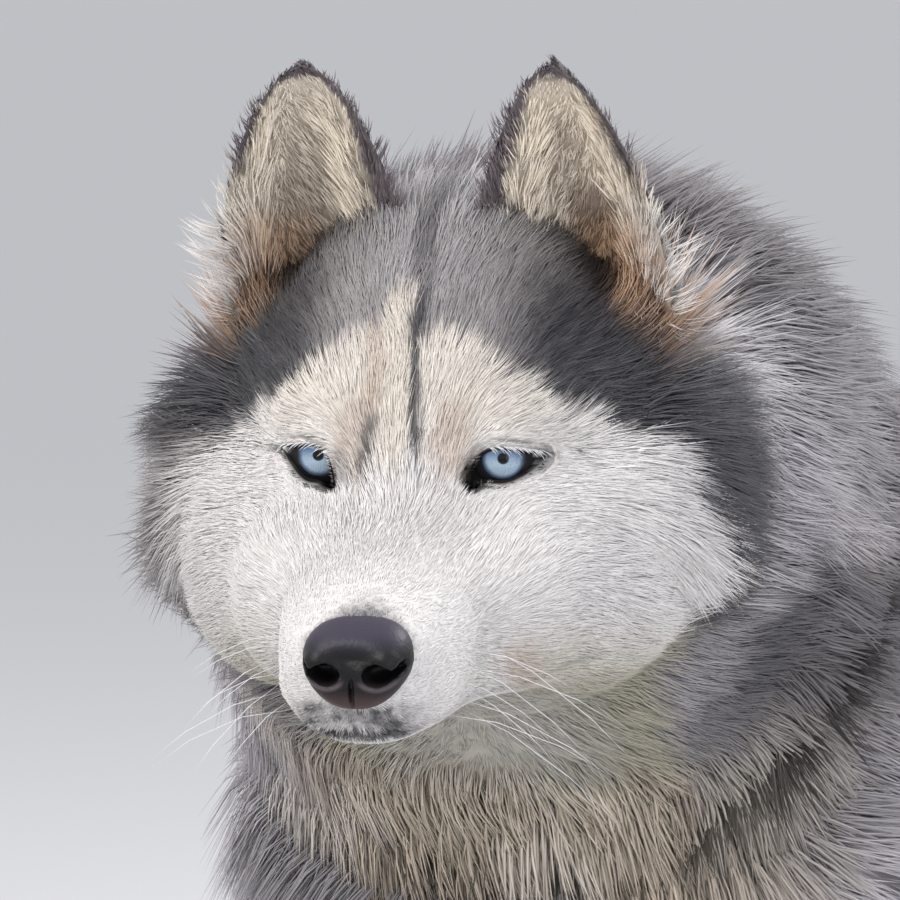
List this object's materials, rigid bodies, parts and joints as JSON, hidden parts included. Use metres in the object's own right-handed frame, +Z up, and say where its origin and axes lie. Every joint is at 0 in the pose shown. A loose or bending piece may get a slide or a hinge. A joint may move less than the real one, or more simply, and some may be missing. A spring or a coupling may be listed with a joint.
{
  "type": "siberian husky, standing",
  "caption": "Life-size still model of a grey and white sled dog standing on four legs, head lowered and turned to its left, tail hanging.",
  "frame": {"origin": "on the floor, in the middle of the animal's bounding box", "axes": "+Z up; the dog faces -Y; its left side is +X"},
  "size_m": [0.3128, 1.1094, 0.7253],
  "materials": {
    "coat": "dense fur, grey over white",
    "nose": "moist, finely pebbled black skin",
    "eye": "glossy, pale blue iris"
  },
  "bodies": {
    "root": {"ear_left": "coat", "ear_right": "coat", "eye_left": "eye", "eye_right": "eye", "fore_paw_left": "coat", "fore_paw_right": "coat", "forearm_left": "coat", "forearm_right": "coat", "head": "coat", "hind_paw_left": "coat", "hind_paw_right": "coat", "lower_jaw": "coat", "neck": "coat", "nose": "nose", "shank_left": "coat", "shank_right": "coat", "tail_base": "coat", "tail_brush": "coat", "thigh_left": "coat", "thigh_right": "coat", "torso": "coat", "upper_foreleg_left": "coat", "upper_foreleg_right": "coat"}
  },
  "joints": []
}
